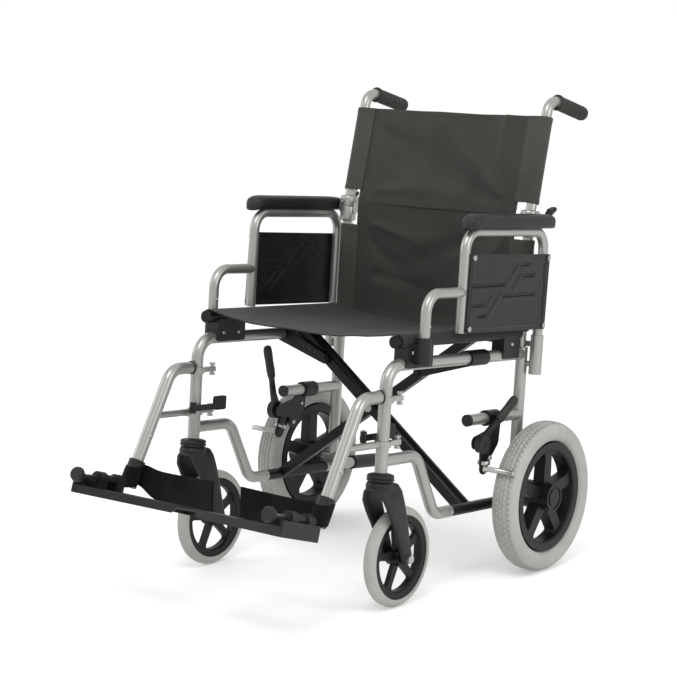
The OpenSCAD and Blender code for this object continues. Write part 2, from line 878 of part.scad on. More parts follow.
right() frame_plastics();  // right_frame_plastics
right() back_hinge();  // right_back_hinge
right() upper_cane();  // right_upper_cane
right() push_grip();  // right_push_grip
right() back_lever();  // right_back_lever
right() armrest_tube();  // right_armrest_tube
right() armrest_pad();  // right_armrest_pad
right() side_panel();  // right_side_panel
right() panel_screws();  // right_panel_screws
right() rear_axle();  // right_rear_axle
right() rear_rim();  // right_rear_rim
right() rear_tyre();  // right_rear_tyre
right() castor_fork();  // right_castor_fork
right() castor_axle();  // right_castor_axle
right() castor_rim();  // right_castor_rim
right() castor_tyre();  // right_castor_tyre
right() brake_clamp();  // right_brake_clamp
right() brake_lever(lever_free);  // right_brake_lever
right() brake_shoe(shoe_free);  // right_brake_shoe
right() hanger();  // right_hanger
right() hanger_latch();  // right_hanger_latch
right() foot_bracket();  // right_foot_bracket
right() footplate();  // right_footplate
right() heel_loop();  // right_heel_loop
right() brace_link();  // right_brace_link
right() seat_half();  // right_seat_half
stand() cross_brace_outer();
stand() cross_brace_inner();
stand() brace_bolt();
stand() back_upper();
stand() back_lower();
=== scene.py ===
"""Looks for the folding wheelchair: studio, materials, upholstery and the fine detail."""
import bpy
import bmesh
import json
import math
from mathutils import Matrix, Vector, noise


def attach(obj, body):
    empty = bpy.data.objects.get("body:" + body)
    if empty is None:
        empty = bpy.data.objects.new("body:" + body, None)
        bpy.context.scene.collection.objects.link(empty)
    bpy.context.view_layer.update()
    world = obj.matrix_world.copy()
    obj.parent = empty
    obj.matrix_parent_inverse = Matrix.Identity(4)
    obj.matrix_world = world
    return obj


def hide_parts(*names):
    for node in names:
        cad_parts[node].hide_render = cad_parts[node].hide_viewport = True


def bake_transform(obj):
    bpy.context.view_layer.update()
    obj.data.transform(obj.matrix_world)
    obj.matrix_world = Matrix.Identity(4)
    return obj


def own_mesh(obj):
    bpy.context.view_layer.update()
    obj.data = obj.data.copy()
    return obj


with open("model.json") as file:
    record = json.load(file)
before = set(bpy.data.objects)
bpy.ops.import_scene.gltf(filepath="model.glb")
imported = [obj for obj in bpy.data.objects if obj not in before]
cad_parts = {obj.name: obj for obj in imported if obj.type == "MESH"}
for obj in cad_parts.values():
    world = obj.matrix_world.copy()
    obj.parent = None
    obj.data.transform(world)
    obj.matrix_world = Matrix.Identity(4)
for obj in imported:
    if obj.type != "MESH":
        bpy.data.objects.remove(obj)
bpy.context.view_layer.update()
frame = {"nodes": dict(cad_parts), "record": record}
NODES = frame["nodes"]

# ---------- the part's own dimensions, in metres ----------
RAKE = math.radians(4.4)
CENTRE_Y = 0.0235
BACK_LEAN = math.radians(10.4)
RAIL_X = 0.242
SEAT_V = 0.513
CANE_X = 0.238
REAR_U = 0.244
HINGE = (0.246, 0.760)
ARM_X = 0.272
FRONT_U = -0.232
WHEEL_X = 0.313
REAR_AXLE_U = 0.244
REAR_AXLE_V = 0.17674
PLATE_HINGE = (-0.51800, 0.20760)
PLATE_TILT = math.radians(12.7)
SIDES = (("left", 1), ("right", -1))


def at(x, u, v):
    """Frame coordinates (u back along the rails, v up the uprights) to the row frame."""
    return Vector((x,
                   CENTRE_Y + u * math.cos(RAKE) + v * math.sin(RAKE),
                   -u * math.sin(RAKE) + v * math.cos(RAKE)))


def upper(x, y, z):
    """Coordinates of the upper back, with its origin at the folding hinge, to the row frame."""
    c, s = math.cos(BACK_LEAN), math.sin(BACK_LEAN)
    return at(x, HINGE[0] + y * c + z * s, HINGE[1] - y * s + z * c)


# ---------- camera, floor and light ----------
def studio():
    scene = bpy.context.scene
    cam = bpy.data.cameras.new("camera")
    cam.sensor_width = 36
    cam.lens = 106.83
    cam.shift_x = 0.00427
    cam.shift_y = 0.00428
    cam.clip_end = 900
    ob = bpy.data.objects.new("camera", cam)
    right = Vector((0.787564, 0.616143, 0.010550))
    up = Vector((-0.109077, 0.122534, 0.986452))
    back = Vector((0.606502, -0.778045, 0.163710))
    m = Matrix((right, up, back)).transposed().to_4x4()
    m.translation = Vector((2.489140, -3.216285, 1.158875))
    ob.matrix_world = m
    scene.collection.objects.link(ob)
    scene.camera = ob

    me = bpy.data.meshes.new("floor")
    reach = 400
    corners = [(-reach, -reach, 0), (reach, -reach, 0), (reach, reach, 0), (-reach, reach, 0)]
    me.from_pydata(corners, [], [(0, 1, 2, 3)])
    floor = bpy.data.objects.new("floor", me)
    scene.collection.objects.link(floor)
    mat = bpy.data.materials.new("floor")
    mat.use_nodes = True
    b = mat.node_tree.nodes["Principled BSDF"]
    b.inputs["Base Color"].default_value = (0.80, 0.80, 0.79, 1)
    b.inputs["Roughness"].default_value = 0.9
    b.inputs["Specular IOR Level"].default_value = 0.0
    b.inputs["Emission Color"].default_value = (1, 1, 1, 1)
    b.inputs["Emission Strength"].default_value = 0.22
    me.materials.append(mat)

    world = bpy.data.worlds.new("studio")
    scene.world = world
    world.use_nodes = True
    bg = world.node_tree.nodes["Background"]
    bg.inputs[0].default_value = (1, 1, 1, 1)
    bg.inputs[1].default_value = 1.0

    def area(name, place, aim, size, power):
        light = bpy.data.lights.new(name, "AREA")
        light.shape = "RECTANGLE"
        light.size, light.size_y = size
        light.energy = power
        o = bpy.data.objects.new(name, light)
        o.location = place
        o.rotation_euler = (Vector(aim) - Vector(place)).to_track_quat("-Z", "Y").to_euler()
        scene.collection.objects.link(o)

    area("key", (0.6, -1.6, 3.2), (0, 0, 0.3), (1.6, 1.6), 46)
    area("side", (3.2, 0.2, 1.6), (0, 0, 0.5), (1.2, 1.6), 26)
    area("left", (-3.0, -1.4, 1.8), (0, 0, 0.5), (1.2, 1.8), 16)
    scene.view_settings.view_transform = "Standard"
    scene.view_settings.look = "None"


# ---------- materials ----------
class Nodes:
    """Short helper for building a node tree."""

    def __init__(self, name):
        self.mat = bpy.data.materials.new(name)
        self.mat.use_nodes = True
        self.t = self.mat.node_tree
        self.b = self.t.nodes["Principled BSDF"]
        self.co = self.t.nodes.new("ShaderNodeTexCoord").outputs["Object"]

    def link(self, a, b):
        self.t.links.new(a, b)

    def set(self, **kw):
        for k, v in kw.items():
            self.b.inputs[k.replace("_", " ")].default_value = v

    def mapped(self, scale):
        m = self.t.nodes.new("ShaderNodeMapping")
        m.inputs["Scale"].default_value = scale
        self.link(self.co, m.inputs["Vector"])
        return m.outputs[0]

    def noise(self, scale, detail=2.0, rough=0.5, vector=None):
        n = self.t.nodes.new("ShaderNodeTexNoise")
        n.inputs["Scale"].default_value = scale
        n.inputs["Detail"].default_value = detail
        n.inputs["Roughness"].default_value = rough
        self.link(vector if vector is not None else self.co, n.inputs["Vector"])
        return n.outputs["Fac"]

    def wave(self, scale, direction, distortion):
        n = self.t.nodes.new("ShaderNodeTexWave")
        n.bands_direction = direction
        n.inputs["Scale"].default_value = scale
        n.inputs["Distortion"].default_value = distortion
        self.link(self.co, n.inputs["Vector"])
        return n.outputs["Fac"]

    def ramp(self, fac, stops):
        r = self.t.nodes.new("ShaderNodeValToRGB")
        e = r.color_ramp.elements
        while len(e) < len(stops):
            e.new(0.5)
        for el, (p, c) in zip(e, stops):
            el.position = p
            el.color = (*c, 1)
        self.link(fac, r.inputs["Fac"])
        return r.outputs["Color"]

    def remap(self, fac, lo, hi):
        m = self.t.nodes.new("ShaderNodeMapRange")
        m.inputs["To Min"].default_value = lo
        m.inputs["To Max"].default_value = hi
        self.link(fac, m.inputs["Value"])
        return m.outputs[0]

    def math(self, op, a, b):
        m = self.t.nodes.new("ShaderNodeMath")
        m.operation = op
        for i, v in enumerate((a, b)):
            if isinstance(v, (int, float)):
                m.inputs[i].default_value = v
            else:
                self.link(v, m.inputs[i])
        return m.outputs[0]

    def mix(self, fac, a, b):
        m = self.t.nodes.new("ShaderNodeMix")
        m.data_type = "RGBA"
        self.link(fac, m.inputs[0])
        for i, v in ((6, a), (7, b)):
            if isinstance(v, tuple):
                m.inputs[i].default_value = (*v, 1)
            else:
                self.link(v, m.inputs[i])
        return m.outputs[2]

    def bump(self, height, strength, distance, after=None):
        n = self.t.nodes.new("ShaderNodeBump")
        n.inputs["Strength"].default_value = strength
        n.inputs["Distance"].default_value = distance
        self.link(height, n.inputs["Height"])
        if after is not None:
            self.link(after, n.inputs["Normal"])
        self.link(n.outputs[0], self.b.inputs["Normal"])
        return n.outputs[0]


def silver_paint():
    n = Nodes("silver_paint")
    flake = n.noise(2600, 1, 0.4)
    cloud = n.noise(9, 3)
    col = n.mix(n.remap(cloud, 0, 1), (0.25, 0.25, 0.24), (0.31, 0.31, 0.295))
    col = n.mix(n.remap(flake, 0.0, 0.30), col, (0.50, 0.50, 0.48))
    n.link(col, n.b.inputs["Base Color"])
    n.set(Metallic=0.72, Coat_Weight=0.2, Coat_Roughness=0.16)
    n.link(n.remap(n.noise(60, 3), 0.27, 0.40), n.b.inputs["Roughness"])
    n.bump(n.noise(420, 2), 0.06, 0.0004, n.bump(n.noise(2600, 1), 0.05, 0.0002))
    return n.mat


def steel():
    n = Nodes("steel")
    brush = n.noise(300, 4, 0.6, n.mapped((1, 1, 14)))
    n.link(n.ramp(brush, [(0.2, (0.26, 0.26, 0.25)), (0.8, (0.50, 0.50, 0.485))]),
           n.b.inputs["Base Color"])
    n.set(Metallic=0.95)
    n.link(n.remap(brush, 0.22, 0.38), n.b.inputs["Roughness"])
    n.bump(brush, 0.08, 0.0003)
    return n.mat


def plastic(name, low, high, rough, grain, gloss=0.5):
    n = Nodes(name)
    cloud = n.noise(14, 4)
    scuff = n.noise(90, 5, 0.7)
    n.link(n.ramp(cloud, [(0.3, low), (0.7, high)]), n.b.inputs["Base Color"])
    n.link(n.math("ADD", n.remap(cloud, rough - 0.06, rough + 0.05),
                  n.remap(scuff, -0.05, 0.07)), n.b.inputs["Roughness"])
    n.set(Specular_IOR_Level=gloss)
    n.bump(n.noise(grain, 2), 0.18, 0.0003, n.bump(n.noise(70, 3), 0.05, 0.0008))
    return n.mat


def tyre():
    n = Nodes("grey_tyre")
    cloud = n.noise(16, 5, 0.6)
    dust = n.noise(260, 3, 0.7)
    col = n.ramp(cloud, [(0.3, (0.30, 0.30, 0.285)), (0.7, (0.37, 0.37, 0.355))])
    col = n.mix(n.remap(dust, 0.0, 0.30), col, (0.22, 0.22, 0.21))
    n.link(col, n.b.inputs["Base Color"])
    n.link(n.remap(dust, 0.62, 0.82), n.b.inputs["Roughness"])
    n.set(Specular_IOR_Level=0.3)
    n.bump(n.noise(800, 2), 0.2, 0.0003, n.bump(dust, 0.12, 0.0008))
    return n.mat


def fabric(name, shade):
    """Woven cloth; shade multiplies all its colours, so copies of the one cloth carry painted
    light (above 1) or painted shade (below 1).
    """
    n = Nodes(name)

    # The cloth's colour times shade, which paints light or shade onto this copy of the cloth.
    def yarn_in_painted_light(r, g, b):
        return (r * shade, g * shade, b * shade)

    warp = n.wave(420, "X", 0.4)
    weft = n.wave(420, "DIAGONAL", 0.4)
    weave = n.math("MULTIPLY", warp, weft)
    cloud = n.noise(7, 4, 0.6)
    fuzz = n.noise(500, 4, 0.7)
    col = n.ramp(cloud, [(0.3, yarn_in_painted_light(0.024, 0.025, 0.021)), (0.7, yarn_in_painted_light(0.036, 0.037, 0.032))])
    col = n.mix(n.remap(weave, 0.0, 0.5), col, yarn_in_painted_light(0.014, 0.014, 0.012))
    col = n.mix(n.remap(fuzz, 0.0, 0.18), col, yarn_in_painted_light(0.060, 0.060, 0.054))
    n.link(col, n.b.inputs["Base Color"])
    n.link(n.remap(fuzz, 0.62, 0.85), n.b.inputs["Roughness"])
    n.set(Specular_IOR_Level=0.16, Sheen_Weight=0.10, Sheen_Roughness=0.5)
    n.bump(weave, 0.30, 0.0003, n.bump(n.noise(45, 4), 0.10, 0.002))
    return n.mat


def webbing():
    n = Nodes("webbing")
    rib = n.wave(560, "Z", 0.2)
    col = n.ramp(n.noise(30, 4), [(0.3, (0.003, 0.003, 0.0028)), (0.7, (0.008, 0.008, 0.0075))])
    n.link(col, n.b.inputs["Base Color"])
    n.set(Roughness=0.75, Sheen_Weight=0.02, Specular_IOR_Level=0.08)
    n.bump(rib, 0.5, 0.0006, n.bump(n.noise(900, 2), 0.2, 0.0003))
    return n.mat


def pad_skin():
    n = Nodes("pad_skin")
    grain = n.t.nodes.new("ShaderNodeTexVoronoi")
    grain.inputs["Scale"].default_value = 520
    n.link(n.co, grain.inputs["Vector"])
    col = n.ramp(n.noise(12, 4), [(0.3, (0.005, 0.005, 0.0047)), (0.7, (0.011, 0.011, 0.0105))])
    n.link(col, n.b.inputs["Base Color"])
    n.link(n.remap(n.noise(60, 4), 0.42, 0.58), n.b.inputs["Roughness"])
    n.set(Specular_IOR_Level=0.32)
    n.bump(grain.outputs["Distance"], 0.25, 0.0004, n.bump(n.noise(24, 3), 0.06, 0.002))
    return n.mat


MATERIALS = {}


def make_materials():
    MATERIALS.update({
        "silver_paint": silver_paint(),
        "steel": steel(),
        "black_metal": plastic("black_metal", (0.004, 0.004, 0.0036), (0.008, 0.008, 0.007),
                               0.34, 900, 0.20),
        "black_plastic": plastic("black_plastic", (0.007, 0.007, 0.0065), (0.014, 0.014, 0.013),
                                 0.46, 700, 0.26),
        "wheel_plastic": plastic("wheel_plastic", (0.005, 0.005, 0.0045), (0.010, 0.010, 0.009),
                                 0.44, 700, 0.20),
        "grip_rubber": plastic("grip_rubber", (0.022, 0.022, 0.020), (0.036, 0.036, 0.032),
                               0.62, 900, 0.22),
        "arm_pad": pad_skin(),
        "grey_tyre": tyre(),
        "upholstery": fabric("upholstery", 0.95),
        # Copy of the upholstery cloth at half brightness: painted shade on the seat.
        "shaded_seat_cloth": fabric("shaded_seat_cloth", 0.50),
        # Copy of the upholstery cloth made lighter: painted light on the back's sleeves.
        "lit_sleeve_cloth": fabric("lit_sleeve_cloth", 1.30),
        "webbing": webbing(),
    })
    slot_of = {s["node"]: s["material_slot"] for s in frame["record"]["subparts"]}
    for name, ob in NODES.items():
        ob.data.materials.clear()
        ob.data.materials.append(MATERIALS[slot_of[name]])
        for p in ob.data.polygons:
            p.material_index = 0


# ---------- mesh helpers ----------
def add(name, verts, faces, material, body=None):
    """New smooth-shaded object, which rides on the body if there is one."""
    me = bpy.data.meshes.new(name)
    me.from_pydata([tuple(v) for v in verts], [], faces)
    me.validate()
    bm = bmesh.new()
    bm.from_mesh(me)
    bmesh.ops.recalc_face_normals(bm, faces=bm.faces)
    bm.to_mesh(me)
    bm.free()
    for p in me.polygons:
        p.use_smooth = True
    me.materials.append(MATERIALS[material])
    ob = bpy.data.objects.new(name, me)
    bpy.context.scene.collection.objects.link(ob)
    if body:
        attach(ob, body)
    return ob


def bevelled(ob, width):
    """Rounds the sharp edges a little."""
    bevel = ob.modifiers.new("bevel", "BEVEL")
    bevel.width = width
    bevel.segments = 2
    bevel.limit_method = "ANGLE"


def grid_faces(rows, cols, close_rows=False, close_cols=False):
    """Faces of a grid of points, joined round either way if asked."""
    out = []
    for i in range(rows if close_rows else rows - 1):
        for j in range(cols if close_cols else cols - 1):
            a, b = i, (i + 1) % rows
            c, d = j, (j + 1) % cols
            out.append((a * cols + c, b * cols + c, b * cols + d, a * cols + d))
    return out


def sheet_between(rows, cols, top, bottom):
    """Closed thin solid from two grids of points, with its rim joined."""
    verts = [p for row in top for p in row] + [p for row in bottom for p in row]
    n = rows * cols
    faces = grid_faces(rows, cols)
    faces += [tuple(n + k for k in reversed(f)) for f in grid_faces(rows, cols)]
    rim = [(i, 0) for i in range(rows)] + [(rows - 1, j) for j in range(1, cols)]
    rim += [(i, cols - 1) for i in range(rows - 2, -1, -1)]
    rim += [(0, j) for j in range(cols - 2, 0, -1)]
    ids = [i * cols + j for i, j in rim]
    for k, a in enumerate(ids):
        b = ids[(k + 1) % len(ids)]
        faces.append((a, b, n + b, n + a))
    return verts, faces


def capped_faces(rows, cols):
    """Faces of a tube made of rings of points, with a face over each end."""
    faces = grid_faces(rows, cols, close_cols=True)
    faces.append(tuple(range(cols - 1, -1, -1)))
    faces.append(tuple((rows - 1) * cols + k for k in range(cols)))
    return faces


def extend(verts, faces, more_verts, more_faces):
    """Adds a mesh to the lists."""
    faces += [tuple(len(verts) + k for k in f) for f in more_faces]
    verts += more_verts


def lathe(profile, place, steps=48):
    """Closed turned solid: profile of (radius, height), placed by a function of (x, y, h)."""
    verts = []
    for r, h in profile:
        for k in range(steps):
            a = 2 * math.pi * k / steps
            verts.append(place(r * math.cos(a), r * math.sin(a), h))
    return verts, capped_faces(len(profile), steps)


def around(x, centre, angle, r):
    """Point on a circle of the side plane, from its centre (u, v)."""
    return at(x, centre[0] + r * math.sin(angle), centre[1] + r * math.cos(angle))


def left_normal(path, j):
    """Unit vector to the left of the path at its point j, in its first two coordinates."""
    p0, p1 = path[max(0, j - 1)], path[min(len(path) - 1, j + 1)]
    return Vector((p0[1] - p1[1], p1[0] - p0[0])).normalized()


def oval(c, power):
    """A cosine or sine made squarer, as a power below 1 does, with its sign kept."""
    return math.copysign(abs(c) ** power, c)


def smoothstep(a, b, x):
    """Smooth rise from 0 at a to 1 at b; it falls where b is below a."""
    t = min(1, max(0, (x - a) / (b - a)))
    return t * t * (3 - 2 * t)


# ---------- seat sling ----------
def seat():
    """One sling, wrapped over both seat rails and hollow between them."""
    wrap_r, thick, sag = 0.0141, 0.0026, 0.019
    front, rear = -0.205, 0.222
    over = [math.radians(a) for a in (-40, -15, 10, 35, 60, 80, 96)]
    wrap = [(RAIL_X + wrap_r * math.cos(a), SEAT_V + wrap_r * math.sin(a)) for a in over]
    edge_x, edge_v = wrap[-1]
    steps, rows = 44, 64
    profile = list(wrap)
    for i in range(1, steps):
        x = edge_x * (1 - 2 * (i / steps))
        profile.append((x, edge_v - sag * (1 - (abs(x) / edge_x) ** 2.2)))
    profile += [(-x, v) for x, v in reversed(wrap)]
    top, low = [], []
    for i in range(rows):
        t = i / (rows - 1)
        u = front + (rear - front) * t
        a, b = [], []
        for j, (x, v) in enumerate(profile):
            n = -left_normal(profile, j)
            inside = 1 - smoothstep(0.75, 0.98, abs(x) / edge_x) if abs(x) < edge_x else 0
            w = noise.noise(Vector((x * 7, u * 3, 1.7))) * 0.004
            w += noise.noise(Vector((x * 22 + u * 9, u * 6, 4.2))) * 0.0016
            lift = w * inside
            a.append(at(x + n.x * thick / 2, u, v + lift + n.y * thick / 2))
            b.append(at(x - n.x * thick / 2, u, v + lift - n.y * thick / 2))
        top.append(a)
        low.append(b)
    verts, faces = sheet_between(rows, len(profile), top, low)
    # The sling uses the darkened copy of the cloth, which is painted shade.
    ob = add("seat_sling", verts, faces, "shaded_seat_cloth")
    bevelled(ob, 0.0011)
    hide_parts("left_seat_half", "right_seat_half")
    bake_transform(ob)


# ---------- back sheets ----------
SEAM_X = 0.204
SLEEVE_R = 0.0132
SEAM_LAP = 0.0035
NO_JOINT = 9        # a height far above the chair


def back_profile(bow):
    """Half turn round each cane and a hollow between them, closer at the sleeve seams."""
    over = [math.radians(a) for a in (-150, -120, -90, -60, -30, 0, 30, 60, 84)]
    wrap = [(CANE_X + SLEEVE_R * math.cos(a), -SLEEVE_R * math.sin(a)) for a in over]
    edge_x, edge_y = wrap[-1]
    seam = [SEAM_X + d for d in (0.006, 0.003, 0.0015, 0, -0.0015, -0.003, -0.006)]
    steps = 50
    inner = [SEAM_X - 0.012 - i * (SEAM_X - 0.012) / steps for i in range(steps)]
    half = [edge_x - 0.008, edge_x - 0.016] + seam + inner
    right = wrap + [(x, edge_y + bow * (1 - (x / edge_x) ** 2.4)) for x in half]
    return right + [(0.0, edge_y + bow)] + [(-x, y) for x, y in reversed(right)]


# Soft ridges of the cloth: start (x, z), end (x, z), height and width
UPPER_RIDGES = (
    (0.20, 0.00, -0.03, 0.19, -0.0105, 0.022),
    (0.20, 0.01, -0.17, 0.12, 0.0105, 0.025),
    (0.19, 0.03, 0.07, 0.20, 0.0085, 0.017),
    (0.15, 0.20, 0.14, 0.07, -0.0060, 0.014),
    (-0.19, 0.02, 0.05, 0.04, -0.0075, 0.019),
    (-0.18, 0.16, 0.10, 0.06, 0.0060, 0.022))
LOWER_RIDGES = (
    (-0.20, 0.72, 0.04, 0.66, -0.0100, 0.019),
    (-0.20, 0.70, -0.03, 0.56, 0.0090, 0.022),
    (0.20, 0.73, -0.10, 0.62, 0.0090, 0.022),
    (0.19, 0.70, 0.02, 0.55, -0.0075, 0.019),
    (-0.15, 0.60, 0.14, 0.55, 0.0060, 0.017))


def folds(x, z, ridges, seed):
    """Depth of the cloth's soft folds at a point of the back."""
    w = 0.0
    for x0, z0, x1, z1, amp, wide in ridges:
        dx, dz = x1 - x0, z1 - z0
        t = ((x - x0) * dx + (z - z0) * dz) / (dx * dx + dz * dz)
        bend = 0.010 * noise.noise(Vector((t * 3, seed, amp * 900)))
        t = min(1, max(0, t))
        d = math.hypot(x - x0 - t * dx, z - z0 - t * dz) + bend
        w += amp * math.exp(-(d / (wide * (0.5 + t))) ** 2) * (1 - 0.5 * t)
    w += noise.noise(Vector((x * 5 + z * 3, z * 4, seed))) * 0.005
    w += noise.noise(Vector((x * 15 - z * 9, z * 8 + x * 4, seed + 5))) * 0.0018
    return w


def back_strip(name, place, profile, low, high, shift, ridges, seed, body, held, joint):
    """One sewn strip of the back: its profile is followed from low to high.

    The middle strip has ridges, and its edges move back by shift to lie behind the sleeves.
    A sleeve has none. The cloth is thinner at the height of the joint, and hemmed at its ends.
    """
    thick, hem_in, hem_out = 0.0024, 0.012, 0.008
    rows = 64
    front, rear = [], []
    for i in range(rows):
        z = low + (high - low) * (i / (rows - 1))
        hem = max(smoothstep(hem_in, hem_out, high - z) if high != joint else 0,
                  smoothstep(hem_in, hem_out, z - low) if low != joint else 0)
        near_joint = 1 - smoothstep(0, 0.010, abs(z - joint))
        half = thick / 2 * (1 + 0.45 * hem - 0.65 * near_joint)
        fade = smoothstep(0.0, 0.045, abs(z - joint))
        a, b = [], []
        for j, (x, y) in enumerate(profile):
            n = -left_normal(profile, j)
            if ridges:
                inside = 1 - smoothstep(0.150, 0.186, abs(x))
                y += shift * smoothstep(SEAM_X - 0.036, SEAM_X - 0.014, abs(x))
                y += folds(x, z, ridges, seed) * inside * fade
            a.append(place(x + n.x * half, y + n.y * half, z))
            b.append(place(x - n.x * half, y - n.y * half, z))
        front.append(a)
        rear.append(b)
    verts, faces = sheet_between(rows, len(profile), front, rear)
    # The sleeves use the lightened copy of the cloth, which is painted light; the middle strip
    # uses the plain cloth.
    ob = add(name, verts, faces, "upholstery" if ridges else "lit_sleeve_cloth", body)
    bevelled(ob, 0.0010)
    return ob


def back_sheet(name, place, mid, side, bodies, held, node, ridges, seed, bow, joint):
    """Sleeve round each cane and the cloth sewn between them."""
    profile = back_profile(bow)
    middle = [q for q in profile if abs(q[0]) <= SEAM_X + SEAM_LAP]
    ob = back_strip(name, place, middle, mid[0], mid[1], 0.0027, ridges, seed, bodies[0],
                    held[0], joint)
    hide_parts(node)
    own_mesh(ob)
    for (word, g), body, rests in zip(SIDES, bodies, held):
        sleeve = [q for q in profile if g * q[0] >= SEAM_X - SEAM_LAP]
        back_strip(name + "_" + word + "_sleeve", place, sleeve, side[0], side[1], 0, None,
                   seed, body, rests, NO_JOINT)


def backs():
    """Upper cloth on the part that folds, lower cloth on the side frames."""
    def lower(x, y, z):
        return at(x, REAR_U + y, z)

    back_sheet("back_upper_cloth", upper, (-0.006, 0.206), (0.022, 0.206),
               ("left_upper_back", "right_upper_back"), ("left_upper_cane", "right_upper_cane"),
               "back_upper", UPPER_RIDGES, 3.1, 0.012, -0.006)
    back_sheet("back_lower_cloth", lower, (0.484, 0.768), (0.515, 0.706),
               ("left_frame", "right_frame"), ("left_side_frame", "right_side_frame"),
               "back_lower", LOWER_RIDGES, 8.4, 0.0162, 0.768)


# ---------- heel straps ----------
def heel_loops():
    """Band from the inboard end to the bracket sleeve, and once round the sleeve."""
    low, high = 0.160, 0.220
    wrap_r, wrap_steps, wrap_turn = 0.0186, 26, 11.5
    band_x, band_length, band_u = 0.2335, 0.1980, -0.4005
    sleeve_u, sleeve_v, sleeve_slope = -0.4163, 0.190, 0.49
    rise = 0.021
    stitches, stitch_wide = (0.186, 0.196, 0.044), 0.0016
    rows, cols = 14, 44
    for side, g in SIDES:
        front, rear = [], []
        for i in range(rows):
            t = i / (rows - 1)
            path = []
            for j in range(cols):
                s = 1 - j / (cols - 1)
                belly = math.sin(math.pi * s)
                v = low + (high - low) * t + rise * (1 - t) * smoothstep(0.25, 0.0, s)
                v -= 0.006 * belly
                lean = (v - sleeve_v) * sleeve_slope * smoothstep(0.30, 0.0, s)
                u = band_u + 0.014 * belly + 0.0016 * math.sin(7 * s + 3 * t)
                u += lean + 0.004 * smoothstep(0.2, 0.0, s)
                path.append((band_x - band_length * s, u, v))
            v = low + (high - low) * t + rise * (1 - t)
            centre = sleeve_u + (v - sleeve_v) * sleeve_slope
            for j in range(1, wrap_steps + 1):
                a = math.radians(118 - j * wrap_turn)
                path.append((RAIL_X + wrap_r * math.cos(a), centre + wrap_r * math.sin(a), v))
            a_row, b_row = [], []
            rib = 0.0004 * (1 - (2 * t - 1) ** 2)
            for j, (x, u, v) in enumerate(path):
                n = left_normal(path, j)
                stitch = 0.0007 * sum(math.exp(-((x - w) / stitch_wide) ** 2)
                                      for w in stitches) if j < cols else 0
                half = 0.0012 + rib + stitch
                a_row.append(at(g * (x + n.x * half), u + n.y * half, v))
                b_row.append(at(g * (x - n.x * half), u - n.y * half, v))
            front.append(a_row)
            rear.append(b_row)
        verts, faces = sheet_between(rows, cols + wrap_steps, front, rear)
        ob = add(side + "_heel_strap", verts, faces, "webbing", side + "_footrest")
        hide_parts(side + "_heel_loop")
        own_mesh(ob)


# ---------- armrest pads ----------
def arm_pads():
    """Long pads with rounded ends, a flat underside and a crowned top."""
    front, rear, base = -0.048, 0.264, 0.7335
    width, height, outward = 0.044, 0.0300, 0.007
    rows, cols = 41, 28
    for side, g in SIDES:
        verts = []
        for i in range(rows):
            t = i / (rows - 1)
            end = max(0.0, 1 - abs(2 * t - 1) ** 14) ** 0.5
            u = front + (rear - front) * t
            half = width / 2 * (0.30 + 0.70 * end)
            tall = height * (0.55 + 0.45 * end)
            nose = 0.0035 * smoothstep(0.10, 0.0, t)
            for j in range(cols):
                a = 2 * math.pi * j / cols
                px = oval(math.cos(a), 0.62) * half
                pz = oval(math.sin(a), 0.72 if math.sin(a) > 0 else 0.4)
                verts.append(at(g * ARM_X + g * outward + px, u,
                                base - nose + tall * (0.5 + 0.5 * pz)))
        faces = capped_faces(rows, cols)
        ob = add(side + "_arm_pad", verts, faces, "arm_pad", side + "_armrest")
        sub = ob.modifiers.new("soft", "SUBSURF")
        sub.levels = sub.render_levels = 1
        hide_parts(side + "_armrest_pad")


# ---------- tyres ----------
GROOVE = 9          # row number of the grooves that run round the tyre
SIDEWALL = -1
SHOULDER, MIDDLE, CENTRE = 0, 1, 2
CROWN = ((0.0190, SHOULDER), (0.0140, SHOULDER), (0.0132, GROOVE), (0.0118, GROOVE),
         (0.0110, MIDDLE), (0.0052, MIDDLE), (0.0044, GROOVE), (0.0032, GROOVE),
         (0.0024, CENTRE), (0.0, CENTRE))


def tread_profile(half, rim_r, r_out):
    """Half section from the rim over the sidewall to the crown, as (x, r, row)."""
    mid, tall = (r_out + rim_r) / 2, (r_out - rim_r) / 2
    out = []
    for i in range(15):
        a = math.radians(-90 + i * 10)
        px = half * abs(math.cos(a)) ** 0.78
        out.append((px, mid + oval(math.sin(a), 0.78) * tall, SIDEWALL))
    for px, row in CROWN:
        out.append((px, mid + (1 - (px / half) ** 2.56) ** 0.39 * tall, row))
    return out


def tyres():
    """Rear tyres with a block tread: one step in four is a cross groove."""
    r_out, rim_r, half = 0.1575, 0.1147, 0.027
    depth, blocks, per_block = 0.0022, 84, 4
    centre = (REAR_AXLE_U, REAR_AXLE_V)
    section = tread_profile(half, rim_r, r_out)
    whole = section + [(-px, r, row) for px, r, row in reversed(section[:-1])]
    steps = blocks * per_block
    for side, g in SIDES:
        verts = []
        for i in range(steps):
            for px, r, row in whole:
                staggered = row == MIDDLE or (px < 0 and row == SHOULDER)
                on_groove = (i + (per_block // 2 if staggered else 0)) % per_block == 0
                cut = row == GROOVE or (row != SIDEWALL and on_groove)
                r2 = r - depth if cut else r
                verts.append(around(g * (WHEEL_X + px), centre, 2 * math.pi * i / steps, r2))
        faces = grid_faces(steps, len(whole), close_rows=True, close_cols=True)
        ob = add(side + "_tyre", verts, faces, "grey_tyre", side + "_rear_wheel")
        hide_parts(side + "_rear_tyre")


